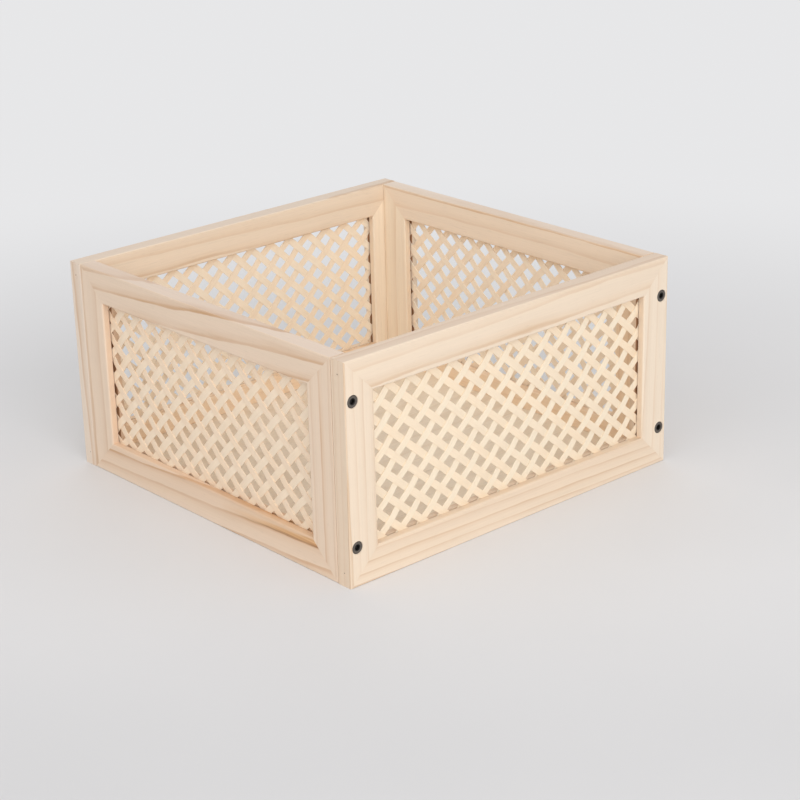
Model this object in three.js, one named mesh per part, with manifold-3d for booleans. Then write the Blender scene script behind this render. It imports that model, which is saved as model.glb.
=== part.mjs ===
import * as THREE from 'three';
import { mergeVertices } from 'three/addons/utils/BufferGeometryUtils.js';
import Module from 'manifold-3d';

// An open-topped crate: four mitred pine frames, each round a woven lattice of flat strips, screwed together
// at the corners round a bottom board. Millimetres, +Z up, origin on the ground under the crate's middle.

// Crate, measured outside
const crateWidth = 348;
const crateDepth = 348;
const crateHeight = 180;

// Frame members
const memberWidth = 28;
const memberThickness = 15;
const outerArris = 1; // rounding along the outer edges
const lipArris = 2; // rounding along the edges round the lattice
const grooveDepth = 6; // groove in the inner edge, which holds the lattice

// Woven lattice
const stripWidth = 6.5;
const stripThickness = 0.5;
const meshAcross = 21.4; // from one opening to the next on the same level
const meshUp = 19.9; // from one opening to the next straight above it
const strandGap = 0.1; // air between two strips at the edges of a crossing
const bindingWidth = 5; // glued rim inside the groove, which holds the cut ends of the strips
const bindingCover = 0.1; // how far that rim stands out over the strips
const stripTuck = 0.75; // how far the cut ends run into that rim

// Where each weave starts: one crossing, given from the middle of its panel
const frontWeaveRight = -2.4;
const frontWeaveUp = -10.9;
const rightWeaveRight = 7.8;
const rightWeaveUp = 2;
const backWeaveRight = -8.6;
const leftWeaveRight = -3.3;
const leftWeaveUp = -4.8;

// Bottom board
const boardThickness = 4;
const boardRise = 5; // from the ground to its underside
const boardTongue = 4.5; // how far its edges are let into the bottom rails

// Corner screws with a countersunk head and a hexagon socket
const screwHeadDiameter = 10;
const screwRim = 0.6; // straight edge of the head above its cone
const screwHeadDepth = 2.6;
const screwShoulderDiameter = 7;
const screwCoreDiameter = 5.2;
const screwTipLength = 3;
const screwSink = 0.2; // from the face of the panel down to the top of the head
const screwTipCover = 2; // wood left between the tip and the lattice groove
const screwInset = 32; // from the top and the bottom of the crate
const socketAcrossFlats = 4;
const socketDepth = 2;
const screwSides = 12;

// Brads through the mitres
const bradDiameter = 1.2;
const bradLength = 25;
const bradSink = 0.3;
const bradInset = 11; // from the top and the bottom of the crate
const bradSides = 6;

// Clearances
const fit = 0.3; // round whatever is let into wood
const seam = 0.2; // between two wooden faces that meet
const overrun = 1; // how far a cutting shape runs past the face that it cuts

// Each panel is drawn as seen from outside: X to the right, Y from its outside face into the crate, Z up.
// The columns of a weave lean by so much to the right for each millimetre down. The front and back panels lap
// over the ends of the other two.
const buttedLength = crateDepth - 2 * memberThickness - 2 * seam;
const panels = [
  {
    name: 'front',
    turn: 0,
    place: [0, -crateDepth / 2],
    length: crateWidth,
    laps: true,
    weave: { right: frontWeaveRight, up: frontWeaveUp, lean: 0.075 },
  },
  {
    name: 'right',
    turn: Math.PI / 2,
    place: [crateWidth / 2, 0],
    length: buttedLength,
    laps: false,
    weave: { right: rightWeaveRight, up: rightWeaveUp, lean: -0.094 },
  },
  {
    name: 'back',
    turn: Math.PI,
    place: [0, crateDepth / 2],
    length: crateWidth,
    laps: true,
    weave: { right: backWeaveRight, up: 0, lean: 0.009 },
  },
  {
    name: 'left',
    turn: -Math.PI / 2,
    place: [-crateWidth / 2, 0],
    length: buttedLength,
    laps: false,
    weave: { right: leftWeaveRight, up: leftWeaveUp, lean: 0.087 },
  },
];

const pine = new THREE.MeshStandardMaterial({ color: 0xf1dec8, roughness: 0.6, metalness: 0 });
const strips = new THREE.MeshStandardMaterial({ color: 0xf6e4c6, roughness: 0.65, metalness: 0 });
const plywood = new THREE.MeshStandardMaterial({ color: 0xeadcc6, roughness: 0.7, metalness: 0 });
const blackSteel = new THREE.MeshStandardMaterial({ color: 0x4a443e, roughness: 0.45, metalness: 0.8 });
const bradSteel = new THREE.MeshStandardMaterial({ color: 0x8c8478, roughness: 0.5, metalness: 0.8 });

const wasm = await Module();
wasm.setup();

// Closed geometry as a solid that can be joined and cut
function toSolid(geometry) {
  const bare = geometry.clone();
  bare.deleteAttribute('normal');
  bare.deleteAttribute('uv');
  const welded = mergeVertices(bare);
  const corners = welded.index.array;
  const triangles = [];
  for (let i = 0; i < corners.length; i += 3) {
    const [a, b, c] = corners.slice(i, i + 3);
    if (a !== b && b !== c && c !== a) triangles.push(a, b, c);
  }
  return new wasm.Manifold(new wasm.Mesh({
    numProp: 3,
    vertProperties: Float32Array.from(welded.attributes.position.array),
    triVerts: Uint32Array.from(triangles),
  }));
}

function toGeometry(solid) {
  const { vertProperties, triVerts } = solid.getMesh();
  const geometry = new THREE.BufferGeometry();
  geometry.setAttribute('position', new THREE.BufferAttribute(Float32Array.from(vertProperties), 3));
  geometry.setIndex(new THREE.BufferAttribute(Uint32Array.from(triVerts), 1));
  geometry.computeVertexNormals();
  return geometry;
}

function namedMesh(name, solid, material) {
  const mesh = new THREE.Mesh(toGeometry(solid), material);
  mesh.name = name;
  return mesh;
}

function rectangle(left, low, right, high) {
  return [[left, low], [right, low], [right, high], [left, high]].map(([x, z]) => new THREE.Vector2(x, z));
}

// An outline in X and Z, solid from one depth to another along Y
function slab(outline, nearY, farY) {
  const geometry = new THREE.ExtrudeGeometry(outline, { depth: farY - nearY, bevelEnabled: false });
  return toSolid(geometry.rotateX(Math.PI / 2).translate(0, farY, 0));
}

// Weave

// Steps from one crossing to the next along the rising and the falling strips
function weaveSteps({ lean }) {
  const drift = lean * meshUp / 2;
  return {
    rising: new THREE.Vector2(meshAcross / 2 - drift, meshUp / 2),
    falling: new THREE.Vector2(meshAcross / 2 + drift, -meshUp / 2),
  };
}

// How far the rising strips must swing to each side of the falling ones to clear their edges
function swingOf(weave) {
  const { rising, falling } = weaveSteps(weave);
  const angle = rising.angleTo(falling);
  const crossing = stripWidth * (1 + Math.abs(Math.cos(angle))) / Math.sin(angle);
  return (stripThickness + strandGap) / (1 - crossing / rising.length());
}

const weaveSwing = Math.max(...panels.map((panel) => swingOf(panel.weave)));
const bindingThickness = 2 * weaveSwing + stripThickness + 2 * bindingCover;
const grooveWidth = bindingThickness + 2 * fit;

// One strip from a starting point, with its depth at each step along it
function strip(start, step, depths) {
  const near = depths.map((depth, i) => new THREE.Vector2(i * step.length(), depth - stripThickness / 2));
  const far = depths.map((depth, i) => new THREE.Vector2(i * step.length(), depth + stripThickness / 2));
  const profile = new THREE.Shape([...near, ...far.reverse()]);
  const geometry = new THREE.ExtrudeGeometry(profile, { depth: stripWidth, bevelEnabled: false });
  const along = new THREE.Vector3(step.x, 0, step.y).normalize();
  const inward = new THREE.Vector3(0, 1, 0);
  const across = new THREE.Vector3().crossVectors(along, inward);
  const place = new THREE.Matrix4().makeBasis(along, inward, across);
  place.setPosition(start.x - across.x * stripWidth / 2, 0, start.y - across.z * stripWidth / 2);
  return toSolid(geometry.applyMatrix4(place));
}

// The rising strips pass over and under the falling ones in turn, and a rim binds all their ends
function latticeSolid(length, weave) {
  const middle = memberThickness / 2;
  const right = length / 2 - memberWidth + grooveDepth - fit;
  const low = memberWidth - grooveDepth + fit;
  const high = crateHeight - low;
  const { rising, falling } = weaveSteps(weave);
  const origin = new THREE.Vector2(weave.right, crateHeight / 2 + weave.up);
  const crossing = (a, b) => origin.clone().addScaledVector(falling, a).addScaledVector(rising, b);

  const rim = new THREE.Shape(rectangle(-right, low, right, high));
  const inset = [-right + bindingWidth, low + bindingWidth, right - bindingWidth, high - bindingWidth];
  rim.holes.push(new THREE.Path(rectangle(...inset)));
  let lattice = slab(rim, middle - bindingThickness / 2, middle + bindingThickness / 2);
  const cut = bindingWidth - stripTuck;
  const sheet = new THREE.Shape(rectangle(-right + cut, low + cut, right - cut, high - cut));
  const trim = slab(sheet, -overrun, memberThickness + overrun);

  const stepsUp = Math.ceil((high - low) / rising.y) + 2;
  const strands = Math.ceil((length + crateHeight) / Math.min(meshAcross, meshUp)) + 1;
  for (let k = -strands; k <= strands; k += 1) {
    // Rising strip k, from one step below the sheet
    const lowest = Math.floor((low - crossing(k, 0).y) / rising.y) - 1;
    const swings = [];
    for (let i = 0; i <= stepsUp + 1; i += 1) {
      const over = (k + lowest + i) % 2 === 0;
      swings.push(over ? middle - weaveSwing : middle + weaveSwing);
    }
    const risingStrip = strip(crossing(k, lowest), rising, swings).intersect(trim);
    if (!risingStrip.isEmpty()) lattice = lattice.add(risingStrip);

    // Falling strip k, straight, from one step above the sheet
    const highest = Math.floor((crossing(0, k).y - high) / -falling.y) - 1;
    const run = falling.clone().multiplyScalar(stepsUp + 1);
    const fallingStrip = strip(crossing(highest, k), run, [middle, middle]).intersect(trim);
    if (!fallingStrip.isEmpty()) lattice = lattice.add(fallingStrip);
  }
  return lattice;
}

// Frame

// Section of a member: X from its outer edge to the lip round the lattice, Y from its outside face inwards
function memberSection() {
  const lip = memberWidth;
  const back = memberThickness;
  const grooveNear = (memberThickness - grooveWidth) / 2;
  const grooveFar = (memberThickness + grooveWidth) / 2;
  const section = new THREE.Shape();
  section.moveTo(outerArris, 0);
  section.lineTo(lip - lipArris, 0);
  section.absarc(lip - lipArris, lipArris, lipArris, -Math.PI / 2, 0);
  section.lineTo(lip, grooveNear);
  section.lineTo(lip - grooveDepth, grooveNear);
  section.lineTo(lip - grooveDepth, grooveFar);
  section.lineTo(lip, grooveFar);
  section.lineTo(lip, back - lipArris);
  section.absarc(lip - lipArris, back - lipArris, lipArris, 0, Math.PI / 2);
  section.lineTo(outerArris, back);
  section.absarc(outerArris, back - outerArris, outerArris, Math.PI / 2, Math.PI);
  section.lineTo(0, outerArris);
  section.absarc(outerArris, outerArris, outerArris, Math.PI, 1.5 * Math.PI);
  return section;
}

// A member along Z with both ends mitred, then turned about Y and moved to its corner of the panel
function memberSolid(span, turn, corner) {
  const settings = { depth: span, bevelEnabled: false, curveSegments: 1 };
  const bar = new THREE.ExtrudeGeometry(memberSection(), settings);
  const back = seam * Math.SQRT1_2;
  const outline = new THREE.Shape([
    new THREE.Vector2(0, back),
    new THREE.Vector2(memberWidth, memberWidth + back),
    new THREE.Vector2(memberWidth, span - memberWidth - back),
    new THREE.Vector2(0, span - back),
  ]);
  const mitred = toSolid(bar).intersect(slab(outline, -overrun, memberThickness + overrun));
  return toSolid(toGeometry(mitred).rotateY(turn).translate(...corner));
}

// Fasteners

// A screw about Y, the top of its head at y = 0 and its tip inwards; its hole is the same shape, grown
const screwLength = memberThickness - screwSink + memberWidth - grooveDepth - screwTipCover;

function screwShape(grow, top) {
  const head = screwHeadDiameter / 2 + grow;
  const shoulder = screwShoulderDiameter / 2 + grow;
  const core = screwCoreDiameter / 2 + grow;
  const joint = memberThickness - screwSink + seam / 2;
  const profile = [
    [0, top],
    [head, top],
    [head, screwRim],
    [shoulder, screwHeadDepth],
    [shoulder, joint],
    [core, joint],
    [core, screwLength - screwTipLength],
    [0, screwLength + grow],
  ];
  return new THREE.LatheGeometry(profile.map(([r, y]) => new THREE.Vector2(r, y)), screwSides);
}

function screwSolid() {
  const socketRadius = socketAcrossFlats / Math.sqrt(3);
  const socketCut = new THREE.CylinderGeometry(socketRadius, socketRadius, socketDepth + overrun, 6);
  socketCut.translate(0, (socketDepth - overrun) / 2, 0);
  return toSolid(screwShape(0, 0)).subtract(toSolid(socketCut));
}

function bradShape(grow, length) {
  const radius = bradDiameter / 2 + grow;
  return new THREE.CylinderGeometry(radius, radius, length, bradSides).rotateZ(Math.PI / 2);
}

// Bottom board and the pocket that it sits in, on a panel whose length the board runs along
const boardWidth = crateWidth - 2 * memberThickness + 2 * boardTongue;
const boardDepth = crateDepth - 2 * memberThickness + 2 * boardTongue;

function boardPocket(boardLength) {
  const half = boardLength / 2 + fit;
  const outline = new THREE.Shape(rectangle(-half, boardRise - fit, half, boardRise + boardThickness + fit));
  return slab(outline, memberThickness - boardTongue - fit, memberThickness + overrun);
}

// Assembly

const levels = { upper: crateHeight, lower: 0 };
const sides = { left: -1, right: 1 };

// Height of a fastener set in from the top or from the bottom
function heightAt(level, inset) {
  return Math.abs(levels[level] - inset);
}

function buildPanel({ name, turn, place, length, laps, weave }) {
  const group = new THREE.Group();
  const members = {
    top_rail: memberSolid(length, Math.PI / 2, [-length / 2, 0, crateHeight]),
    bottom_rail: memberSolid(length, -Math.PI / 2, [length / 2, 0, 0]),
    left_stile: memberSolid(crateHeight, 0, [-length / 2, 0, 0]),
    right_stile: memberSolid(crateHeight, Math.PI, [length / 2, 0, crateHeight]),
  };
  const pocket = boardPocket(laps ? boardWidth : boardDepth);
  for (const member of ['bottom_rail', 'left_stile', 'right_stile']) {
    members[member] = members[member].subtract(pocket);
  }

  for (const [side, sign] of Object.entries(sides)) {
    for (const level of Object.keys(levels)) {
      const stile = `${side}_stile`;
      const rail = level === 'upper' ? 'top_rail' : 'bottom_rail';

      // Brad through the stile into the end of the rail
      const bradMiddle = length / 2 - bradSink - bradLength / 2;
      const bradPlace = [sign * bradMiddle, memberThickness / 2, heightAt(level, bradInset)];
      const bradHole = toSolid(bradShape(fit, bradLength + 2 * (bradSink + overrun)).translate(...bradPlace));
      members[stile] = members[stile].subtract(bradHole);
      members[rail] = members[rail].subtract(bradHole);
      const brad = toSolid(bradShape(0, bradLength).translate(...bradPlace));
      group.add(namedMesh(`${name}_brad_${level}_${side}`, brad, bradSteel));

      // Screw hole: from the face of a lapping panel, or into the end of a butted one
      const screwHole = screwShape(fit, -screwSink - overrun).translate(0, screwSink, 0);
      const screwHeight = heightAt(level, screwInset);
      const screwPlace = [sign * (length - memberThickness) / 2, 0, screwHeight];
      const endPlace = [sign * (length / 2 + seam + memberThickness), memberThickness / 2, screwHeight];
      if (laps) screwHole.translate(...screwPlace);
      else screwHole.rotateZ(sign * Math.PI / 2).translate(...endPlace);
      members[stile] = members[stile].subtract(toSolid(screwHole));
      if (laps) {
        const screw = namedMesh(`${name}_screw_${level}_${side}`, screwSolid(), blackSteel);
        screw.position.set(screwPlace[0], screwSink, screwHeight);
        group.add(screw);
      }
    }
  }

  for (const [member, solid] of Object.entries(members)) {
    group.add(namedMesh(`${name}_${member}`, solid, pine));
  }
  group.add(namedMesh(`${name}_lattice`, latticeSolid(length, weave), strips));
  group.position.set(place[0], place[1], 0);
  group.rotation.z = turn;
  return group;
}

const crate = new THREE.Group();
for (const panel of panels) crate.add(buildPanel(panel));

const boardTop = boardRise + boardThickness;
const boardEdge = new THREE.Shape(rectangle(-boardWidth / 2, boardRise, boardWidth / 2, boardTop));
crate.add(namedMesh('bottom_board', slab(boardEdge, -boardDepth / 2, boardDepth / 2), plywood));

export default crate;
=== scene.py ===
import math
import random

import bmesh
import bpy
from mathutils import Matrix, Quaternion, Vector


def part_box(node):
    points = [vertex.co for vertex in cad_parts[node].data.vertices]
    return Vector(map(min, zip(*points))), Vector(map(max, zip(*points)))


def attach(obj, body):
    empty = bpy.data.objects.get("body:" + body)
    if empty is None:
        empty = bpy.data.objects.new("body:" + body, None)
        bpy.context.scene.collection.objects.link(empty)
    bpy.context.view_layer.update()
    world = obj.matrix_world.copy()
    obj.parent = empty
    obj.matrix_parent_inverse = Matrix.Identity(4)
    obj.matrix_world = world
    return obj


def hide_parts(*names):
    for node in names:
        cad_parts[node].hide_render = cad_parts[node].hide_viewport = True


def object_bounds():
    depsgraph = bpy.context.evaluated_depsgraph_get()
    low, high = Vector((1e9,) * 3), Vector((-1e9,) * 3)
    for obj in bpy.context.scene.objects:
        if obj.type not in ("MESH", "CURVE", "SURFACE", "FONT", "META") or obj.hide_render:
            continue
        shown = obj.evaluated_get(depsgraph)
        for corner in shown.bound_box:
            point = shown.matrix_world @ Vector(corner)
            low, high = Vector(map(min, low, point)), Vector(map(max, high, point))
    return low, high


# Open pine crate: mitred frames round woven lattices, in metres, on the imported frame
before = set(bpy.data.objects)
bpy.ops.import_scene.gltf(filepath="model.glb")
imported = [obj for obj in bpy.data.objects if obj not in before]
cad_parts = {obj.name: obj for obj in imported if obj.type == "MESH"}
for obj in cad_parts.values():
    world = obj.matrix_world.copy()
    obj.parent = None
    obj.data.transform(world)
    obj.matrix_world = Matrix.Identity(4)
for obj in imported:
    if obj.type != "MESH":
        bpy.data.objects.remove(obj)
cadLow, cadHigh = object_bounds()
mm = 0.001
samePlace = 0.001 * mm  # closeness of points when edges are picked
onSurface = 0.01 * mm  # closeness to the faces of a member
onPlane = 0.0001 * mm  # closeness to a cutting plane
plain = (1.0, 1.0, 1.0)
print("frame loaded with", len(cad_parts), "nodes")

# sizes taken from the frame
railLow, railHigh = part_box("front_top_rail")
memberWidth = railHigh.z - railLow.z
memberThickness = railHigh.y - railLow.y
crateHeight = cadHigh.z - cadLow.z

# each panel as seen from outside: X to the right, Y inwards, Z up
panels = {
    "front": {"turn": 0, "middle": (0, cadLow.y)},
    "right": {"turn": math.pi / 2, "middle": (cadHigh.x, 0)},
    "back": {"turn": math.pi, "middle": (0, cadHigh.y)},
    "left": {"turn": -math.pi / 2, "middle": (cadLow.x, 0)},
}
for name, panel in panels.items():
    nearLow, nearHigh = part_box(name + "_left_stile")
    farLow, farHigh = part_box(name + "_right_stile")
    spreadX = max(nearHigh.x, farHigh.x) - min(nearLow.x, farLow.x)
    spreadY = max(nearHigh.y, farHigh.y) - min(nearLow.y, farLow.y)
    panel["length"] = max(spreadX, spreadY)
    panel["place"] = Matrix.Translation((*panel["middle"], 0)) @ Matrix.Rotation(panel["turn"], 4, "Z")


# Node helpers

def newMaterial(name):
    material = bpy.data.materials.new(name)
    material.use_nodes = True
    material.node_tree.nodes.clear()
    shader = put(material, "BsdfPrincipled")
    put(material, "OutputMaterial", {"Surface": shader.outputs[0]})
    return material, shader


def put(material, kind, inputs=None, **settings):
    node = material.node_tree.nodes.new("ShaderNode" + kind)
    for key, value in settings.items():
        setattr(node, key, value)
    for key, value in (inputs or {}).items():
        feed(material, node.inputs[key], value)
    return node


def feed(material, socket, value):
    if isinstance(value, bpy.types.NodeSocket):
        material.node_tree.links.new(value, socket)
    else:
        socket.default_value = value


def attribute(material, name, output="Fac"):
    return put(material, "Attribute", attribute_name=name).outputs[output]


def maths(material, operation, *values):
    node = put(material, "Math", operation=operation)
    for socket, value in zip(node.inputs, values):
        feed(material, socket, value)
    return node.outputs[0]


def times(material, first, *others):
    for other in others:
        first = maths(material, "MULTIPLY", first, other)
    return first


def noise(material, vector, scale, shift=(0, 0, 0), detail=2.0, rough=0.5):
    stretched = put(material, "Mapping", {"Vector": vector, "Scale": scale, "Location": shift}).outputs[0]
    inputs = {"Vector": stretched, "Scale": 1.0, "Detail": detail, "Roughness": rough}
    return put(material, "TexNoise", inputs).outputs[0]


def ramp(material, value, stops, ease="LINEAR"):
    node = put(material, "ValToRGB", {"Fac": value})
    node.color_ramp.interpolation = ease
    points = node.color_ramp.elements
    while len(points) < len(stops):
        points.new(0.5)
    for point, (position, grey) in zip(points, stops):
        point.position = position
        point.color = (grey, grey, grey, 1)
    return node.outputs[0]


def mixed(material, share, first, second, blend="MIX"):
    node = put(material, "Mix", data_type="RGBA", blend_type=blend)
    for socket, value in zip((node.inputs[0], node.inputs[6], node.inputs[7]), (share, first, second)):
        if isinstance(value, tuple):
            value = (*value, 1)
        feed(material, socket, value)
    return node.outputs[2]


def tinted(material, colour, tint):
    return mixed(material, 1.0, colour, tint, "MULTIPLY")


def shaded(material, colour, shade):
    grey = put(material, "CombineColor", {"Red": shade, "Green": shade, "Blue": shade}).outputs[0]
    return tinted(material, colour, grey)


def spread(material, value, low, high):
    inputs = {"Value": value, "To Min": low, "To Max": high}
    return put(material, "MapRange", inputs).outputs[0]


def eased(material, value, start, end, low=0.0, high=1.0):
    inputs = {"Value": value, "From Min": start, "From Max": end, "To Min": low, "To Max": high}
    return put(material, "MapRange", inputs, interpolation_type="SMOOTHSTEP").outputs[0]


def seenDirectly(material):
    path = put(material, "LightPath").outputs
    seen = maths(material, "MAXIMUM", path["Is Camera Ray"], path["Is Glossy Ray"])
    return maths(material, "MAXIMUM", seen, path["Is Transmission Ray"])


def dress(material, shader, look, colour, roughness, relief):
    feed(material, shader.inputs["Base Color"], colour)
    feed(material, shader.inputs["Roughness"], roughness)
    for socket, value in look["fixed"].items():
        shader.inputs[socket].default_value = value
    bump = put(material, "Bump", {"Strength": look["bump"], "Distance": look["bumpHeight"], "Height": relief})
    feed(material, shader.inputs["Normal"], bump.outputs[0])


# Piece helpers

def addPiece(name, bm, material, slotName, *nodes):
    mesh = bpy.data.meshes.new(name)
    bm.to_mesh(mesh)
    bm.free()
    piece = bpy.data.objects.new(name, mesh)
    bpy.context.scene.collection.objects.link(piece)
    mesh.materials.append(material)
    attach(piece, "root")
    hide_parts(*nodes)
    return piece


def softShade(piece, degrees):
    piece.data.shade_smooth()
    piece.data.set_sharp_from_angle(angle=math.radians(degrees))
    weighted = piece.modifiers.new("flat faces stay flat", "WEIGHTED_NORMAL")
    weighted.keep_sharp = True


def carve(piece, cutter):
    cut = piece.modifiers.new("holes", "BOOLEAN")
    cut.operation = "DIFFERENCE"
    cut.solver = "EXACT"
    cut.object = cutter
    shaped = piece.evaluated_get(bpy.context.evaluated_depsgraph_get())
    carved = bpy.data.meshes.new_from_object(shaped)
    piece.modifiers.clear()
    old = piece.data
    piece.data = carved
    bpy.data.meshes.remove(old)


def rounded(bm, edges, radius, segments):
    bmesh.ops.bevel(
        bm, geom=edges, offset=radius, offset_type="OFFSET", segments=segments, profile=0.5,
        affect="EDGES", material=-1, clamp_overlap=True,
    )


def cutOff(bm, corner, outwards, **sides):
    everything = bm.verts[:] + bm.edges[:] + bm.faces[:]
    return bmesh.ops.bisect_plane(
        bm, geom=everything, dist=onPlane, plane_co=corner, plane_no=outwards, **sides,
    )


def onlyVerts(geometry):
    return [part for part in geometry if isinstance(part, bmesh.types.BMVert)]


def onlyEdges(geometry):
    return [part for part in geometry if isinstance(part, bmesh.types.BMEdge)]


def once(parts):
    return list(dict.fromkeys(parts))  # in their order, which a set would lose


def edgesOf(verts):
    return once(edge for vert in verts for edge in vert.link_edges)


# corners on a fine grid and in a fixed order, because the operators leave them in another order each run
def settled(bm):
    for vert in bm.verts:
        vert.co = [round(part / samePlace) * samePlace for part in vert.co]
    verts = sorted(bm.verts, key=lambda vert: vert.co[:])
    ranks = {vert: rank for rank, vert in enumerate(verts)}
    outlines = []
    for face in bm.faces:
        corners = [ranks[vert] for vert in face.verts]
        first = corners.index(min(corners))
        outlines.append(corners[first:] + corners[:first])
    fresh = bmesh.new()
    made = [fresh.verts.new(vert.co) for vert in verts]
    for corners in sorted(outlines):
        fresh.faces.new([made[rank] for rank in corners])
    bm.free()
    return fresh


# Bare pine: growth rings from the ring attribute, fine fibres along the grain.
# Each noise has its scale per metre along, across and through the grain.
pineLook = {
    "early": (0.850, 0.705, 0.555),
    "late": (0.640, 0.405, 0.225),
    "lateShare": 0.85,
    # painted warm bounce light and shade, for inner edges, rims and faces near the lattice
    "edge": (0.930, 0.840, 0.760),
    # painted shade for the insides of the grooves
    "kerf": (0.520, 0.280, 0.150),
    "wander": {"scale": (6, 45, 45)},
    "wanderBy": (-0.35, 0.35),  # in rings
    "ragged": {"scale": (45, 260, 260)},
    "raggedBy": (-0.06, 0.06),
    "ringProfile": [(0, 0), (0.45, 0.05), (0.75, 0.36), (0.92, 1), (0.96, 0.85), (1, 0)],
    "ringStrength": (0.35, 1.1),
    "patch": {"scale": (14, 60, 60), "shift": (3, 1, 2), "detail": 1.0},
    "patchStrength": (0.2, 1.6),
    "fibre": {"scale": (16, 850, 850), "detail": 3.0, "rough": 0.65},
    "fibreShade": (0.93, 1.05),
    "broad": {"scale": (5, 120, 120), "shift": (1, 7, 4)},
    "broadShade": (-0.045, 0.035),
    "canal": {"scale": (110, 1500, 1500), "shift": (9, 2, 5), "detail": 0.0},
    "canalCut": [(0, 0), (0.70, 0), (0.78, 1)],
    "canalShade": 0.05,
    "roughness": (0.52, 0.68),
    "lateGloss": 0.08,
    "lateRelief": 0.6,
    "bump": 0.22,
    "bumpHeight": 0.25 * mm,
    "fixed": {"Specular IOR Level": 0.35},
}

# Resin-soaked streak: amber wood and darker veins above a pitch line, which lies at "middle" of its ramps
resinLook = {
    "amber": (0.780, 0.485, 0.240),
    "vein": (0.600, 0.320, 0.145),
    "pitch": (0.300, 0.130, 0.055),
    "middle": 0.5,
    "zone": [(0.30, 0), (0.44, 0.5), (0.52, 1), (0.80, 0.9), (0.97, 0.2)],
    "line": [(0.36, 0), (0.42, 0.7), (0.47, 1), (0.52, 0.4), (0.60, 0)],
    "veins": {"scale": (13, 520, 520), "shift": (2, 8, 3)},
    "veinCut": [(0.40, 0.1), (0.64, 1)],
    "lineStrength": (0.55, 1.3),
}


def makePine():
    material, shader = newMaterial("bare_pine")
    grain = attribute(material, "grain", "Vector")
    ring = attribute(material, "ring")

    # rings wander a little and are cut off sharply on one side
    wander = noise(material, grain, **pineLook["wander"])
    ragged = noise(material, grain, **pineLook["ragged"])
    wander = spread(material, wander, *pineLook["wanderBy"])
    bend = maths(material, "ADD", wander, spread(material, ragged, *pineLook["raggedBy"]))
    ringAt = maths(material, "ADD", ring, bend)
    within = maths(material, "FRACT", ringAt)
    late = ramp(material, within, pineLook["ringProfile"], "EASE")

    # every ring, every patch and every board has its own strength
    ringNumber = maths(material, "FLOOR", ringAt)
    own = put(material, "TexWhiteNoise", {"W": ringNumber}, noise_dimensions="1D").outputs[0]
    strength = spread(material, own, *pineLook["ringStrength"])
    patch = noise(material, grain, **pineLook["patch"])
    patch = spread(material, patch, *pineLook["patchStrength"])
    late = times(material, late, strength, patch, attribute(material, "tone"))
    share = times(material, late, pineLook["lateShare"])
    colour = mixed(material, share, pineLook["early"], pineLook["late"])

    # fibres, broad bands and fine resin canals
    fibre = noise(material, grain, **pineLook["fibre"])
    broad = noise(material, grain, **pineLook["broad"])
    canal = noise(material, grain, **pineLook["canal"])
    canal = ramp(material, canal, pineLook["canalCut"])
    shade = spread(material, fibre, *pineLook["fibreShade"])
    shade = maths(material, "ADD", shade, spread(material, broad, *pineLook["broadShade"]))
    shade = maths(material, "SUBTRACT", shade, times(material, canal, pineLook["canalShade"]))
    colour = shaded(material, colour, shade)
    # the member's tint, which on members seen inside the crate also holds painted light
    colour = tinted(material, colour, attribute(material, "tint", "Color"))
    # painted warm bounce light and shade on inner edges, rims and faces near the lattice
    colour = tinted(material, colour, mixed(material, attribute(material, "edge"), plain, pineLook["edge"]))

    # resin streak along one ring, and painted shade in the grooves of the members
    pitch = attribute(material, "pitch")
    streakAt = maths(material, "ADD", attribute(material, "streak"), bend)
    streakAt = maths(material, "ADD", streakAt, resinLook["middle"])
    veins = noise(material, grain, **resinLook["veins"])
    veins = ramp(material, veins, resinLook["veinCut"])
    zone = times(material, ramp(material, streakAt, resinLook["zone"]), pitch)
    colour = mixed(material, zone, colour, resinLook["amber"])
    colour = mixed(material, times(material, zone, veins), colour, resinLook["vein"])
    strength = spread(material, veins, *resinLook["lineStrength"])
    line = times(material, ramp(material, streakAt, resinLook["line"]), strength, pitch)
    colour = mixed(material, line, colour, resinLook["pitch"])
    # painted shade in the grooves
    colour = mixed(material, attribute(material, "kerf"), colour, pineLook["kerf"])

    dull = spread(material, fibre, *pineLook["roughness"])
    dull = maths(material, "SUBTRACT", dull, times(material, late, pineLook["lateGloss"]))
    relief = maths(material, "ADD", fibre, times(material, late, pineLook["lateRelief"]))
    dress(material, shader, pineLook, colour, dull, relief)
    return material


# Split strips of the weave: fibres along each strip, every strip its own tone
stripLook = {
    "pale": (0.915, 0.780, 0.600),
    "warm": (0.860, 0.675, 0.465),
    "falling": (0.985, 0.955, 0.935),
    "fibre": {"scale": (22, 1100, 37), "detail": 3.0, "rough": 0.6},
    "fibreShade": (0.92, 1.04),
    "broad": {"scale": (9, 170, 11), "shift": (5, 3, 1)},
    "broadWarmth": (-0.2, 0.3),
    "ownWarmth": (-0.12, 0.32),
    "ownShade": (-0.02, 0.03),
    "roughness": (0.45, 0.62),
    "bump": 0.25,
    "bumpHeight": 0.2 * mm,
    "fixed": {"Specular IOR Level": 0.4},
}


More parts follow.
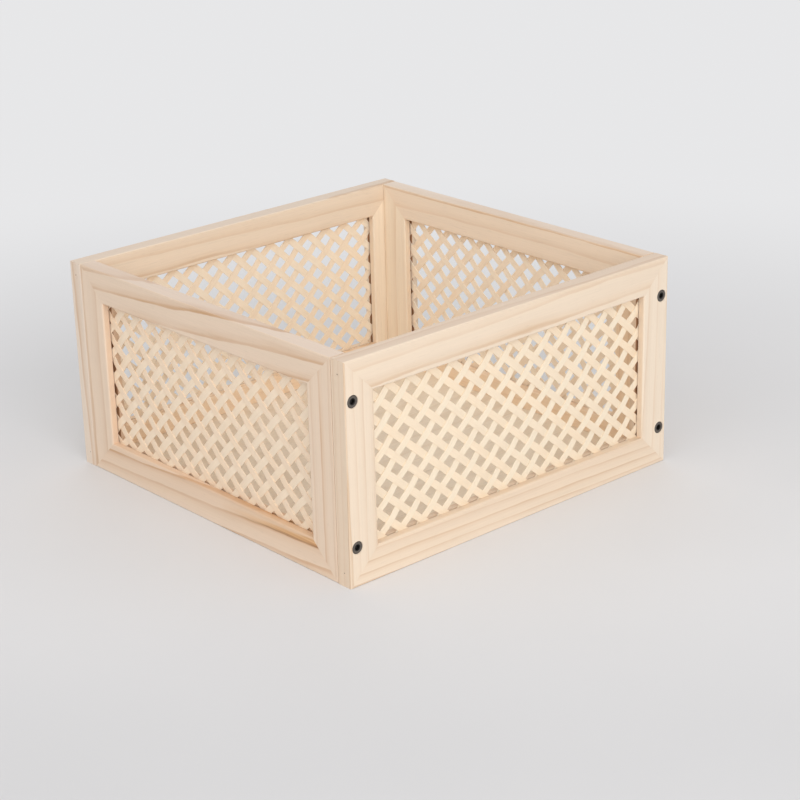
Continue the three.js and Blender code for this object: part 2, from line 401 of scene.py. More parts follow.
def makeStrips():
    material, shader = newMaterial("split_strips")
    strand = attribute(material, "strand", "Vector")
    number = put(material, "SeparateXYZ", {"Vector": strand}).outputs[2]
    own = put(material, "TexWhiteNoise", {"W": number}, noise_dimensions="1D").outputs[0]
    fibre = noise(material, strand, **stripLook["fibre"])
    broad = noise(material, strand, **stripLook["broad"])
    warmth = spread(material, own, *stripLook["ownWarmth"])
    warmth = maths(material, "ADD", warmth, spread(material, broad, *stripLook["broadWarmth"]))
    colour = mixed(material, warmth, stripLook["pale"], stripLook["warm"])
    shade = spread(material, fibre, *stripLook["fibreShade"])
    shade = maths(material, "ADD", shade, spread(material, own, *stripLook["ownShade"]))
    colour = shaded(material, colour, shade)
    rises = maths(material, "MODULO", number, 2.0)  # rising strips have odd numbers
    colour = tinted(material, colour, mixed(material, rises, stripLook["falling"], plain))
    colour = tinted(material, colour, attribute(material, "tint", "Color"))
    dress(material, shader, stripLook, colour, spread(material, fibre, *stripLook["roughness"]), fibre)
    return material


# Rotary-cut veneer on the bottom board, with painted shade making it a little darker towards the back left
# corner
veneerLook = {
    "pale": (0.930, 0.820, 0.670),
    "figure": (0.840, 0.700, 0.530),
    "figureShare": 0.6,
    "swirl": {"scale": (3.2, 9, 9), "detail": 1.5},
    "bands": 11,
    "bandProfile": [(0, 0), (0.5, 0.1), (0.9, 0.75), (1, 0)],
    "fibre": {"scale": (18, 700, 700), "detail": 3.0, "rough": 0.6},
    "fibreShade": (0.93, 1.05),
    "pore": {"scale": (90, 1300, 1300), "shift": (4, 4, 4), "detail": 0.0},
    "poreCut": [(0, 0), (0.68, 0), (0.78, 1)],
    "poreShade": 0.1,
    "darker": (0.935, 0.905, 0.880),
    "darkerFrom": -0.10,
    "darkerTo": 0.12,
    "roughness": (0.55, 0.72),
    "bump": 0.2,
    "bumpHeight": 0.2 * mm,
    "fixed": {"Specular IOR Level": 0.35},
}


def makeVeneer():
    material, shader = newMaterial("pale_veneer")
    place = put(material, "TexCoord").outputs["Object"]
    swirl = noise(material, place, **veneerLook["swirl"])
    bands = maths(material, "FRACT", times(material, swirl, veneerLook["bands"]))
    figure = ramp(material, bands, veneerLook["bandProfile"], "EASE")
    figure = times(material, figure, veneerLook["figureShare"])
    colour = mixed(material, figure, veneerLook["pale"], veneerLook["figure"])
    fibre = noise(material, place, **veneerLook["fibre"])
    pore = noise(material, place, **veneerLook["pore"])
    pore = ramp(material, pore, veneerLook["poreCut"])
    shade = spread(material, fibre, *veneerLook["fibreShade"])
    shade = maths(material, "SUBTRACT", shade, times(material, pore, veneerLook["poreShade"]))
    colour = shaded(material, colour, shade)
    parts = put(material, "SeparateXYZ", {"Vector": place}).outputs
    # painted shade, darker towards the back left corner
    backLeft = maths(material, "SUBTRACT", parts[1], parts[0])
    share = eased(material, backLeft, veneerLook["darkerFrom"], veneerLook["darkerTo"])
    colour = tinted(material, colour, mixed(material, share, plain, veneerLook["darker"]))
    dress(material, shader, veneerLook, colour, spread(material, fibre, *veneerLook["roughness"]), fibre)
    return material


# Black oxide on the screws, rubbed on the flat of the head, and drawn wire on the brads
mottled = {
    "mottle": {"scale": (900, 900, 900), "detail": 3.0, "rough": 0.6},
    "wear": (0.6, 1.2),
    "bump": 0.15,
    "bumpHeight": 0.1 * mm,
}
oxideLook = {
    **mottled,
    "dark": (0.010, 0.009, 0.008),
    "pale": (0.030, 0.026, 0.022),
    "rubbed": (0.140, 0.122, 0.105),
    "roughness": (0.36, 0.55),
    "fixed": {"Metallic": 0.5},
}
wireLook = {
    **mottled,
    "dark": (0.10, 0.085, 0.07),
    "pale": (0.24, 0.21, 0.18),
    "roughness": (0.35, 0.5),
    "fixed": {"Metallic": 0.8},
}


def makeMetal(name, look):
    material, shader = newMaterial(name)
    place = put(material, "TexCoord").outputs["Object"]
    mottle = noise(material, place, **look["mottle"])
    colour = mixed(material, mottle, look["dark"], look["pale"])
    if "rubbed" in look:
        worn = times(material, attribute(material, "worn"), spread(material, mottle, *look["wear"]))
        colour = mixed(material, worn, colour, look["rubbed"])
    dress(material, shader, look, colour, spread(material, mottle, *look["roughness"]), mottle)
    return material


pine = makePine()
strips = makeStrips()
veneer = makeVeneer()
blackOxide = makeMetal("black_oxide", oxideLook)
drawnWire = makeMetal("drawn_wire", wireLook)
print("materials ready")


# Screws and brads, and the holes for everything that is let into the wood, cut from the members by one tool
holes = {"screwSpare": 0.15 * mm, "bradSpare": 0.1 * mm, "boardSpare": 0.2 * mm, "proud": 1.5 * mm}
screw = {
    "sides": 48,
    "rim": 0.6 * mm,
    "headDepth": 2.6 * mm,
    "shoulder": 3.5 * mm,
    "shoulderDepth": memberThickness - 0.1 * mm,
    "core": 2.6 * mm,
    "tipLength": 3.0 * mm,
    "tip": 0.2 * mm,
    "edgeChamfer": 0.35 * mm,
    "socketMouth": 2.75 * mm,
    "socketSides": 6,
    "socketFlats": 4.0 * mm,
    "socketDepth": 2.4 * mm,
    "socketChamfer": 0.3 * mm,
    "drillCone": 0.65 * mm,
    "drillTip": 0.02,  # share of the socket's width
    "flat": 0.99,
    "sharp": 30,
}
brad = {"taper": 2.2 * mm, "sides": 24, "edge": 0.12 * mm, "tip": 0.15, "sharp": 40}
screwNodes = [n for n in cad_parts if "_screw_" in n]
bradNodes = [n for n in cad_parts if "_brad_" in n]


def screwPlace(node):
    low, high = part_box(node)
    middle = (low + high) / 2
    outwards = 1 if middle.y > 0 else -1
    top = high.y if outwards > 0 else low.y
    turned = Matrix.Rotation(math.radians(-90 * outwards), 4, "X")
    return Matrix.Translation((middle.x, top, middle.z)) @ turned, high.y - low.y, (high.x - low.x) / 2


def bradPlace(node):
    low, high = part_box(node)
    size = high - low
    middle = (low + high) / 2
    alongX = size.x > size.y
    outwards = 1 if (middle.x if alongX else middle.y) > 0 else -1
    turn = Quaternion((0, 1, 0), math.radians(90 * outwards))
    if not alongX:
        turn = Quaternion((1, 0, 0), math.radians(-90 * outwards))
    return Matrix.Translation(middle) @ turn.to_matrix().to_4x4(), max(size.x, size.y), size.z / 2


def loopOut(bm, edges, radius, depth):
    ring = bmesh.ops.extrude_edge_only(bm, edges=edges)["geom"]
    for vert in onlyVerts(ring):
        flat = Vector((vert.co.x, vert.co.y, 0)).normalized() * radius
        vert.co = (flat.x, flat.y, depth)
    return onlyEdges(ring)


def shankSteps(length, spare):
    shoulder, core = screw["shoulder"] + spare, screw["core"] + spare
    return [
        (shoulder, -screw["headDepth"] - spare),
        (shoulder, -screw["shoulderDepth"]),
        (core, -screw["shoulderDepth"]),
        (core, -length + screw["tipLength"]),
        (screw["tip"], -length - spare),
    ]


def screwHole(bm, node):
    place, length, head = screwPlace(node)
    wide = head + holes["screwSpare"]
    start = bmesh.ops.create_circle(bm, cap_ends=True, segments=screw["sides"], radius=wide)["verts"]
    bmesh.ops.translate(bm, verts=start, vec=(0, 0, holes["proud"]))
    edges = edgesOf(start)
    made = list(start)
    for radius, depth in [(wide, -screw["rim"])] + shankSteps(length, holes["screwSpare"]):
        edges = loopOut(bm, edges, radius, depth)
        made += once(v for e in edges for v in e.verts)
    bmesh.ops.edgeloop_fill(bm, edges=edges)
    bmesh.ops.transform(bm, matrix=place, verts=made)


def bradHole(bm, node):
    place, length, radius = bradPlace(node)
    lifted = Matrix.Translation((0, 0, holes["proud"] / 2))
    wide = radius + holes["bradSpare"]
    bmesh.ops.create_cone(
        bm, cap_ends=True, segments=brad["sides"], radius1=wide, radius2=wide,
        depth=length + holes["proud"] + 2 * holes["bradSpare"], matrix=place @ lifted,
    )


def boardHole(bm):
    low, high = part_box("bottom_board")
    spare = Vector((1, 1, 1)) * holes["boardSpare"]
    size = high - low + 2 * spare
    place = Matrix.Translation((low + high) / 2) @ Matrix.Diagonal((*size, 1))
    bmesh.ops.create_cube(bm, size=1, matrix=place)


def makeCutter():
    bm = bmesh.new()
    for node in screwNodes:
        screwHole(bm, node)
    for node in bradNodes:
        bradHole(bm, node)
    boardHole(bm)
    bmesh.ops.recalc_face_normals(bm, faces=bm.faces[:])
    bm = settled(bm)
    mesh = bpy.data.meshes.new("hole_tool")
    bm.to_mesh(mesh)
    bm.free()
    cutter = bpy.data.objects.new("hole_tool", mesh)
    bpy.context.scene.collection.objects.link(cutter)
    return cutter


# Frame members, each drawn along X from its near end, Y across from its outer edge, Z into the crate
member = {
    "outerArris": 1.0 * mm,
    "buttArris": 0.3 * mm,
    "lipArris": 1.5 * mm,
    "arrisSegments": 4,
    "grooveDepth": 6.0 * mm,
    "railGroove": 2.1 * mm,
    "stileGroove": 3.0 * mm,
    "mitreGap": 0.01 * mm,
    "mitreArris": 0.03 * mm,
    "cuts": 17,
    "sharp": 35,
}
grooveFloor = memberWidth - member["grooveDepth"]

# How each member was sawn: a dark ring line meets the near end at "line" and has moved across by "drift" at
# the far end, the next line lies a "gap" away, and the rings lean through the thickness. Millimetres and
# degrees. Then the strength of the rings, the tint of the board, which on members seen inside the crate also
# holds painted light, the painted bounce light and shade on its inner edge and its rim, and the painted warm
# bounce light its face gets towards the inner edge.
# the second and third tints are painted light on members seen inside the crate: warm bounce light, and a lift
# for the far inner corner
pinker, paintedWarmLight, paintedCornerLight = (1.0, 0.96, 0.945), (1.14, 1.08, 1.00), (1.10, 1.14, 1.16)
sawn = {
    "front_top_rail": {"line": 9.7, "drift": -4.8, "gap": 17.0, "lean": 40, "tone": 0.8, "rim": 0.6},
    "front_bottom_rail": {"line": 10.2, "drift": -6.5, "gap": 7.8, "lean": 25, "tone": 0.7, "warm": 0.35},
    "front_left_stile": {"line": 1.6, "drift": 0.4, "gap": 8.6, "lean": 55, "tone": 0.65, "rim": 0.4},
    "front_right_stile": {
        "line": 11.5, "drift": 6.5, "gap": 11.0, "lean": 30, "tone": 0.4, "tint": (1.02, 1.04, 1.06),
    },
    "left_top_rail": {"line": 20.0, "drift": -29.0, "gap": 16.0, "lean": -20, "tone": 1.8, "tint": pinker},
    "left_bottom_rail": {
        "line": 8.6, "drift": 13.5, "gap": 14.5, "lean": 30, "tone": 1.0, "tint": (1.02, 0.985, 0.975),
        "edge": 0.85, "warm": 0.6,
    },
    "left_left_stile": {"line": 2.6, "drift": 1.0, "gap": 17.0, "lean": 20, "tone": 1.1, "tint": pinker},
    "left_right_stile": {"line": 4.2, "drift": -0.8, "gap": 10.4, "lean": 48, "tone": 0.75, "tint": pinker},
    "back_top_rail": {"line": 13.0, "drift": -7.5, "gap": 16.0, "lean": -10, "tone": 0.9, "rim": 0.3},
    "back_bottom_rail": {"line": 6.0, "drift": 9.0, "gap": 9.5, "lean": 35, "tone": 0.5, "tint": paintedWarmLight},
    "back_left_stile": {"line": 3.5, "drift": 1.5, "gap": 17.0, "lean": 15, "tone": 0.4, "tint": paintedCornerLight},
    "back_right_stile": {
        "line": 12.0, "drift": -5.0, "gap": 13.0, "lean": -35, "tone": 0.6, "tint": (1.02, 1.03, 1.08),
    },
    "right_top_rail": {
        "line": 17.5, "drift": 3.0, "gap": 14.0, "lean": 12, "tone": 0.8, "tint": (1.06, 1.06, 1.07),
    },
    "right_bottom_rail": {
        "line": 14.0, "drift": -10.0, "gap": 12.0, "lean": -30, "tone": 0.5, "tint": paintedWarmLight,
    },
    "right_left_stile": {"line": 7.0, "drift": 2.0, "gap": 10.0, "lean": 40, "tone": 0.5, "tint": paintedWarmLight},
    "right_right_stile": {"line": 5.0, "drift": -2.0, "gap": 15.0, "lean": 10, "tone": 0.4, "tint": paintedCornerLight},
}
grainFigure = {
    "edge": 0.45,  # painted bounce light and shade on an inner edge where its member doesn't say
    "topEdge": (0.98, 1.00, 1.06),  # painted sheen takes some of the yellow out of the upper edges of the crate
    "pitch": {"left_bottom_rail": (0.56, 0.80)},  # shares of the length where resin starts and is full
    "noPitch": (2, 3),
    "nextAlong": 0.61,  # each member shows another place of the grain and other rings
    "nextAcross": 0.23,
    "nextRings": 10,
}


def memberLie(part, length):
    half = length / 2
    lies = {
        "top_rail": ((1, 0, 0), (0, 0, -1), (-half, 0, crateHeight)),
        "bottom_rail": ((1, 0, 0), (0, 0, 1), (-half, 0, 0)),
        "left_stile": ((0, 0, -1), (1, 0, 0), (-half, 0, crateHeight)),
        "right_stile": ((0, 0, -1), (-1, 0, 0), (half, 0, crateHeight)),
    }
    along, across, corner = lies[part]
    return Matrix.Translation(corner) @ Matrix((along, across, (0, 1, 0))).transposed().to_4x4()


def mitre(bm, corner, slant, keepFar):
    cut = cutOff(bm, corner, slant, clear_inner=keepFar, clear_outer=not keepFar)
    bmesh.ops.edgeloop_fill(bm, edges=onlyEdges(cut["geom_cut"]))


def runsAt(bm, across, depth):
    def lies(vert):
        return abs(vert.co.y - across) < samePlace and abs(vert.co.z - depth) < samePlace
    return [edge for edge in bm.edges if all(lies(v) for v in edge.verts)]


def isMitreFace(face, close=0.001):
    return abs(abs(face.normal.x) - math.sqrt(0.5)) < close and abs(face.normal.z) < close


def outOfGroove(point):
    onFaces = min(point.z, memberThickness - point.z) < member["lipArris"] + onSurface
    return onFaces or point.y < grooveFloor - onSurface


def memberBlank(span, groove, arris):
    near = (memberThickness - groove) / 2
    far = memberThickness - near
    section = [
        (0, 0), (memberWidth, 0), (memberWidth, near), (grooveFloor, near),
        (grooveFloor, far), (memberWidth, far), (memberWidth, memberThickness), (0, memberThickness),
    ]
    bm = bmesh.new()
    face = bm.faces.new([bm.verts.new((0, across, depth)) for across, depth in section])
    grown = bmesh.ops.extrude_face_region(bm, geom=[face])["geom"]
    bmesh.ops.translate(bm, verts=onlyVerts(grown), vec=(span, 0, 0))
    gap = member["mitreGap"]
    mitre(bm, (gap, 0, 0), (1, -1, 0), True)
    mitre(bm, (span - gap, 0, 0), (1, 1, 0), False)
    along = [e for e in bm.edges if abs(e.verts[0].co.x - e.verts[1].co.x) > span / 3]
    bmesh.ops.subdivide_edges(bm, edges=along, cuts=member["cuts"])
    outer = runsAt(bm, 0, 0) + runsAt(bm, 0, memberThickness)
    rounded(bm, outer, arris, member["arrisSegments"])
    lips = runsAt(bm, memberWidth, 0) + runsAt(bm, memberWidth, memberThickness)
    rounded(bm, lips, member["lipArris"], member["arrisSegments"])
    bmesh.ops.recalc_face_normals(bm, faces=bm.faces[:])
    ends = [f for f in bm.faces if isMitreFace(f)]
    rims = [e for f in ends for e in f.edges if all(outOfGroove(v.co) for v in e.verts)]
    rounded(bm, once(rims), member["mitreArris"], 1)
    return bm


def paintGrain(piece, toMember, span, name, groove):
    cut = sawn[name]
    lean = math.radians(cut["lean"])
    shift = list(sawn).index(name)
    start, full = grainFigure["pitch"].get(name, grainFigure["noPitch"])
    faceTint = rimTint = cut.get("tint", plain)
    # the rims of the top rails get the painted sheen
    if "top" in name:
        rimTint = [part * faded for part, faded in zip(faceTint, grainFigure["topEdge"])]
    grain = []
    tint = []
    marks = {"ring": [], "tone": [], "pitch": [], "streak": [], "edge": []}
    for vert in piece.data.vertices:
        along, across, depth = toMember @ vert.co
        line = cut["line"] * mm + cut["drift"] * mm * along / span
        turned = (across - line) * math.cos(lean) + depth * math.sin(lean)
        rings = turned / (cut["gap"] * mm * math.cos(lean))
        grain += [along + shift * grainFigure["nextAlong"], across + shift * grainFigure["nextAcross"], depth]
        marks["ring"].append(rings + shift * grainFigure["nextRings"])
        marks["tone"].append(cut["tone"])
        marks["pitch"].append(min(1, max(0, (along / span - start) / (full - start))))
        marks["streak"].append(rings)
        tint += rimTint if across < onSurface else faceTint
        # painted bounce light and shade on inner edges and rims, painted warm bounce light on faces towards
        # the inner edge
        if across > memberWidth - onSurface:
            marks["edge"].append(cut.get("edge", grainFigure["edge"]))
        elif across < onSurface:
            marks["edge"].append(cut.get("rim", 0))
        else:
            marks["edge"].append(cut.get("warm", 0) * across / memberWidth)

    # painted shade darkens the grooves, but not those of the bottom rails
    grooveShadeShare = 0 if "bottom" in name else 1
    kerf = []
    for face in piece.data.polygons:
        spot = toMember @ face.center
        inSlot = abs(spot.z - memberThickness / 2) < groove / 2 + onSurface
        kerf.append(grooveShadeShare if inSlot and grooveFloor - onSurface < spot.y < memberWidth else 0)
    layers = piece.data.attributes
    layers.new("kerf", "FLOAT", "FACE").data.foreach_set("value", kerf)
    layers.new("grain", "FLOAT_VECTOR", "POINT").data.foreach_set("vector", grain)
    layers.new("tint", "FLOAT_VECTOR", "POINT").data.foreach_set("vector", tint)
    for mark, values in marks.items():
        layers.new(mark, "FLOAT", "POINT").data.foreach_set("value", values)


def makeMembers():
    cutter = makeCutter()
    for panelName, panel in panels.items():
        for part in ("top_rail", "bottom_rail", "left_stile", "right_stile"):
            span = panel["length"] if "rail" in part else crateHeight
            name = panelName + "_" + part
            place = panel["place"] @ memberLie(part, panel["length"])
            groove = member["stileGroove"] if "stile" in part else member["railGroove"]
            butts = "stile" in part and panelName in ("left", "right")
            bm = memberBlank(span, groove, member["buttArris"] if butts else member["outerArris"])
            bmesh.ops.transform(bm, matrix=place, verts=bm.verts[:])
            bmesh.ops.recalc_face_normals(bm, faces=bm.faces[:])
            piece = addPiece("pine_" + name, settled(bm), pine, "pine", name)
            carve(piece, cutter)
            paintGrain(piece, place.inverted(), span, name, groove)
            softShade(piece, member["sharp"])
    bpy.data.meshes.remove(cutter.data)


makeMembers()
print("frame members ready")


# Woven lattice: flat strips on both diagonals, over one and under one
weave = {
    "width": 6.1 * mm,
    "thickness": 0.58 * mm,
    "swing": 0.35 * mm,
    "across": 21.4 * mm,
    "up": 19.9 * mm,
    "steps": 6,
    "crown": 0.1 * mm,
    "edge": 0.12 * mm,
    "rimAngle": 1.2,
    "tuck": 5.2 * mm,
    "stray": 0.16 * mm,
    "spareWidth": 0.18 * mm,
    "spareCrossings": 3,
    "sharp": 40,
}

# one crossing, in mm to the right and up from the middle of the panel, and the lean to the right per mm down
weaveStart = {
    "front": (-2.4, -10.9, 0.075),
    "right": (7.8, 2.0, -0.094),
    "back": (-8.6, 0.0, 0.009),
    "left": (-3.3, -4.8, 0.087),
}
sheetTintAndLight = {  # every sheet is split from its own bundle; the right and back sheets, seen inside the crate, also hold painted light
    "front": (1.01, 1.02, 1.03),
    "right": (1.08, 1.11, 1.18),
    "back": (1.06, 1.10, 1.17),
    "left": (1.05, 1.02, 1.02),
}


def layStrip(bm, strand, start, step, count, sign, number, draw):
    along = Vector((step.x, 0, step.y)).normalized()
    across = Vector((0, 1, 0)).cross(along)
    width = weave["width"] + draw.uniform(-1, 1) * weave["spareWidth"]
    stray = draw.uniform(-1, 1) * weave["stray"]
    grid = bmesh.ops.create_grid(bm, x_segments=count * weave["steps"], y_segments=2, size=0.5)["verts"]
    for vert in grid:
        run = (vert.co.x + 0.5) * count
        side = vert.co.y * 2
        bulge = (1 - side * side) * weave["crown"]
        wave = math.cos(math.pi * run)
        flattened = wave * (1.5 - 0.5 * wave * wave)  # flat where it crosses, quick in between
        height = flattened * sign * weave["swing"] + bulge
        spot = along * (run * step.length) + across * (side * width / 2 + stray)
        vert.co = Vector((start.x, memberThickness / 2 - height, start.y)) + spot
        vert[strand] = (run * step.length, side * width / 2, number)


def makeWeave(panelName):
    panel = panels[panelName]
    right, up, lean = weaveStart[panelName]
    drift = lean * weave["up"] / 2
    rising = Vector((weave["across"] / 2 - drift, weave["up"] / 2))
    falling = Vector((weave["across"] / 2 + drift, -weave["up"] / 2))
    origin = Vector((right * mm, crateHeight / 2 + up * mm))
    reach = panel["length"] / 2 - memberWidth + weave["tuck"]
    low = Vector((-reach, 0, memberWidth - weave["tuck"]))
    high = Vector((reach, 0, crateHeight - memberWidth + weave["tuck"]))
    draw = random.Random("strips " + panelName)
    bm = bmesh.new()
    strand = bm.verts.layers.float_vector.new("strand")
    count = math.ceil((high.z - low.z) / rising.y) + weave["spareCrossings"]
    most = math.ceil((panel["length"] + crateHeight) / weave["up"]) + 1
    number = 0
    for k in range(-most, most + 1):
        first = math.floor((low.z - origin.y - falling.y * k) / rising.y) - 1
        over = 1 if (k + first) % 2 == 0 else -1
        layStrip(bm, strand, origin + falling * k + rising * first, rising, count, over, number + 1, draw)
        first = math.floor((origin.y + rising.y * k - high.z) / rising.y) - 1
        over = -1 if (k + first) % 2 == 0 else 1
        layStrip(bm, strand, origin + rising * k + falling * first, falling, count, over, number + 2, draw)
        number += 2

    # cut to the sheet's outline, give the strips their thickness and ease their edges
    for corner, outwards in ((low, (-1, 0, 0)), (low, (0, 0, -1)), (high, (1, 0, 0)), (high, (0, 0, 1))):
        cutOff(bm, corner, outwards, clear_outer=True)
    bmesh.ops.solidify(bm, geom=bm.faces[:], thickness=weave["thickness"])
    rims = [e for e in bm.edges if e.calc_face_angle(0) > weave["rimAngle"]]
    rounded(bm, rims, weave["edge"], 1)
    bmesh.ops.recalc_face_normals(bm, faces=bm.faces[:])
    bmesh.ops.transform(bm, matrix=panel["place"], verts=bm.verts[:])
    piece = addPiece("weave_" + panelName, bm, strips, "strips", panelName + "_lattice")
    # each sheet's tint, with painted light on the right and back sheets
    tint = piece.data.attributes.new("tint", "FLOAT_VECTOR", "POINT")
    tint.data.foreach_set("vector", sheetTintAndLight[panelName] * len(piece.data.vertices))
    softShade(piece, weave["sharp"])
    return piece


for panelName in panels:
    piece = makeWeave(panelName)
    print("weave", panelName, len(piece.data.vertices), "vertices")


# Corner screws with a hexagon socket
def makeScrew(node):
    place, length, head = screwPlace(node)
    bm = bmesh.new()
    hexRadius = screw["socketFlats"] / math.sqrt(3)
    hexVerts = bmesh.ops.create_circle(bm, segments=screw["socketSides"], radius=hexRadius)["verts"]
    hexEdges = edgesOf(hexVerts)
    bmesh.ops.subdivide_edges(bm, edges=hexEdges, cuts=screw["sides"] // screw["socketSides"] - 1)
    bmesh.ops.translate(bm, verts=bm.verts[:], vec=(0, 0, -screw["socketChamfer"]))
    hexEdges = bm.edges[:]
    mouth = bmesh.ops.create_circle(bm, segments=screw["sides"], radius=screw["socketMouth"])["verts"]
    mouthEdges = edgesOf(mouth)
    bmesh.ops.bridge_loops(bm, edges=hexEdges + mouthEdges)

    # head and shank, outwards from the mouth
    chamfer = screw["edgeChamfer"]
    edges = mouthEdges
    headSteps = [(head - chamfer, 0), (head, -chamfer), (head, -screw["rim"])]
    for radius, depth in headSteps + shankSteps(length, 0):
        edges = loopOut(bm, edges, radius, depth)
    bmesh.ops.edgeloop_fill(bm, edges=edges)

    # socket walls and its drilled bottom
    wall = bmesh.ops.extrude_edge_only(bm, edges=hexEdges)["geom"]
    bmesh.ops.translate(bm, verts=onlyVerts(wall), vec=(0, 0, -screw["socketDepth"]))
    bottom = bmesh.ops.extrude_edge_only(bm, edges=onlyEdges(wall))["geom"]
    bmesh.ops.scale(bm, verts=onlyVerts(bottom), vec=(screw["drillTip"], screw["drillTip"], 1))
    bmesh.ops.translate(bm, verts=onlyVerts(bottom), vec=(0, 0, -screw["drillCone"]))
    bmesh.ops.edgeloop_fill(bm, edges=onlyEdges(bottom))
    bmesh.ops.recalc_face_normals(bm, faces=bm.faces[:])
    worn = bm.faces.layers.float.new("worn")
    for face in bm.faces:
        onTop = face.normal.z > screw["flat"] and abs(face.verts[0].co.z) < samePlace
        face[worn] = 1 if onTop else 0
    bmesh.ops.transform(bm, matrix=place, verts=bm.verts[:])
    piece = addPiece("screw_" + node.replace("_screw", ""), bm, blackOxide, "black_steel", node)
    softShade(piece, screw["sharp"])


for node in screwNodes:
    makeScrew(node)
print("screws ready:", len(screwNodes))


# Brads through the mitres: drawn wire with a flat punched head and a pointed tip
def makeBrad(node):
    place, length, radius = bradPlace(node)
    half, edge = length / 2, brad["edge"]
    bm = bmesh.new()
    head = bmesh.ops.create_circle(bm, cap_ends=True, segments=brad["sides"], radius=radius - edge)["verts"]
    bmesh.ops.translate(bm, verts=head, vec=(0, 0, half))
    edges = bm.edges[:]
    for wide, depth in ((radius, half - edge), (radius, brad["taper"] - half), (radius * brad["tip"], -half)):
        edges = loopOut(bm, edges, wide, depth)
    bmesh.ops.edgeloop_fill(bm, edges=edges)
    bmesh.ops.recalc_face_normals(bm, faces=bm.faces[:])
    bmesh.ops.transform(bm, matrix=place, verts=bm.verts[:])
    piece = addPiece("brad_" + node.replace("_brad", ""), bm, drawnWire, "brad_steel", node)
    softShade(piece, brad["sharp"])


for node in bradNodes:
    makeBrad(node)
print("brads ready:", len(bradNodes))


# Bottom board, let into the bottom rails
board = {"arris": 0.4 * mm, "segments": 2, "sharp": 35}


def makeBoard():
    low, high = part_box("bottom_board")
    bm = bmesh.new()
    place = Matrix.Translation((low + high) / 2) @ Matrix.Diagonal((*(high - low), 1))
    bmesh.ops.create_cube(bm, size=1, matrix=place)
    rounded(bm, bm.edges[:], board["arris"], board["segments"])
    piece = addPiece("veneered_bottom_board", bm, veneer, "plywood", "bottom_board")
    softShade(piece, board["sharp"])


makeBoard()
print("bottom board ready")


# Pale floor with painted shade towards the front, and plain white in the distance so that the background
# stays even from every side
floorLook = {
    "size": 14.0,
    "below": 0.05 * mm,
    "paper": (0.783, 0.779, 0.790),
    "fine": {"scale": (6, 6, 1), "detail": 3.0},
    "fineShade": (0.985, 1.015),
    "roughness": 0.8,
    "specular": 0.2,
    "frontWay": (-0.65, -0.76, 0),
    "dullFrom": 0.22,
    "dullTo": 0.55,
    "dullest": 0.87,
    "distance": (0.80, 0.80, 0.81),
    "fadeMiddle": (-0.12, -0.14, 0),
    "fadeFrom": 0.40,
    "fadeTo": 1.10,
}


def makePaper():
    material, shader = newMaterial("pale_paper")
    place = put(material, "TexCoord").outputs["Object"]
    toFront = {0: place, 1: floorLook["frontWay"]}
    ahead = put(material, "VectorMath", toFront, operation="DOT_PRODUCT").outputs["Value"]
    # painted shade: the floor gets darker towards the front
    dull = eased(material, ahead, floorLook["dullFrom"], floorLook["dullTo"], 1.0, floorLook["dullest"])
    fine = noise(material, place, **floorLook["fine"])
    shade = times(material, spread(material, fine, *floorLook["fineShade"]), dull)
    feed(material, shader.inputs["Base Color"], shaded(material, floorLook["paper"], shade))
    shader.inputs["Roughness"].default_value = floorLook["roughness"]
    shader.inputs["Specular IOR Level"].default_value = floorLook["specular"]

    # the white distance is there only for the camera, for reflections and through glass
    fromMiddle = {0: place, 1: floorLook["fadeMiddle"]}
    away = put(material, "VectorMath", fromMiddle, operation="DISTANCE").outputs["Value"]
    fade = eased(material, away, floorLook["fadeFrom"], floorLook["fadeTo"])
    glow = put(material, "Emission", {"Color": (*floorLook["distance"], 1)})
    both = put(material, "MixShader", {0: times(material, fade, seenDirectly(material))})
    feed(material, both.inputs[1], shader.outputs[0])
    feed(material, both.inputs[2], glow.outputs[0])
    output = [n for n in material.node_tree.nodes if n.type == "OUTPUT_MATERIAL"][0]
    feed(material, output.inputs["Surface"], both.outputs[0])
    return material


def makeFloor():
    bm = bmesh.new()
    bmesh.ops.create_grid(bm, x_segments=1, y_segments=1, size=floorLook["size"] / 2)
    bmesh.ops.translate(bm, verts=bm.verts[:], vec=(0, 0, cadLow.z - floorLook["below"]))
    mesh = bpy.data.meshes.new("pale_floor")
    bm.to_mesh(mesh)
    bm.free()
    floor = bpy.data.objects.new("pale_floor", mesh)
    bpy.context.scene.collection.objects.link(floor)
    mesh.materials.append(makePaper())


makeFloor()
print("floor ready")


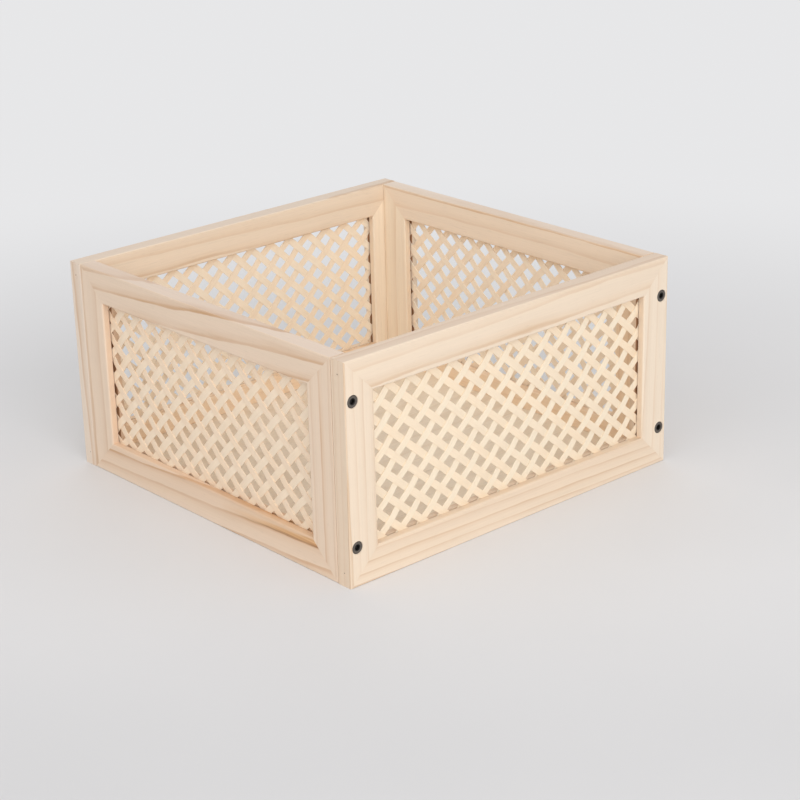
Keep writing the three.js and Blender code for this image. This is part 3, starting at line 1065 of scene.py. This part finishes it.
# Soft studio light: an even white surround, a large softbox beside the camera, weak ones to the left and
# behind
studio = {"surround": (1.0, 1.0, 1.0), "surroundStrength": 0.61, "seenStrength": 0.80}
lamps = {
    "low_softbox": {"from": (-0.78, -1.86, 0.98), "size": 1.5, "power": 21.5, "colour": (1.0, 0.99, 0.98)},
    "side_softbox": {"from": (-1.45, -0.60, 1.58), "size": 1.5, "power": 6.5, "colour": (1.0, 1.0, 1.0)},
    "back_softbox": {"from": (1.08, 1.29, 1.50), "size": 1.5, "power": 4.0, "colour": (1.0, 1.0, 1.0)},
}


def makeLight():
    world = bpy.data.worlds.new("studio_surround")
    world.use_nodes = True
    world.node_tree.nodes.clear()
    strength = spread(world, seenDirectly(world), studio["surroundStrength"], studio["seenStrength"])
    colour = (*studio["surround"], 1)
    background = put(world, "Background", {"Color": colour, "Strength": strength})
    put(world, "OutputWorld", {"Surface": background.outputs[0]})
    bpy.context.scene.world = world
    for name, look in lamps.items():
        lamp = bpy.data.lights.new(name, "AREA")
        lamp.size = look["size"]
        lamp.energy = look["power"]
        lamp.color = look["colour"]
        holder = bpy.data.objects.new(name, lamp)
        holder.location = look["from"]
        aim = Vector((0, 0, crateHeight / 2)) - holder.location
        holder.rotation_mode = "QUATERNION"
        holder.rotation_quaternion = aim.to_track_quat("-Z", "Y")
        holder.visible_camera = False
        bpy.context.scene.collection.objects.link(holder)


makeLight()
print("lights ready:", len(lamps))


# Camera at the photograph's angle
shot = {
    "azimuth": -41.42,
    "elevation": 21.29,
    "roll": -1.49,
    "distance": 1.8005,
    "aim": (0.0183, -0.0162, 0.0547),
    "lens": 96.35,
    "sensor": 36,
}


def makeCamera():
    lens = bpy.data.cameras.new("studio_camera")
    lens.lens = shot["lens"]
    lens.sensor_width = shot["sensor"]
    camera = bpy.data.objects.new("studio_camera", lens)
    around, above = math.radians(shot["azimuth"]), math.radians(shot["elevation"])
    back = Vector((math.sin(around) * math.cos(above), -math.cos(around) * math.cos(above), math.sin(above)))
    camera.location = Vector(shot["aim"]) + back * shot["distance"]
    camera.rotation_mode = "QUATERNION"
    level = (-back).to_track_quat("-Z", "Y")
    camera.rotation_quaternion = level @ Quaternion((0, 0, 1), math.radians(shot["roll"]))
    bpy.context.scene.collection.objects.link(camera)
    bpy.context.scene.camera = camera


makeCamera()
bpy.context.scene.view_settings.view_transform = "Standard"

print("crate finished")
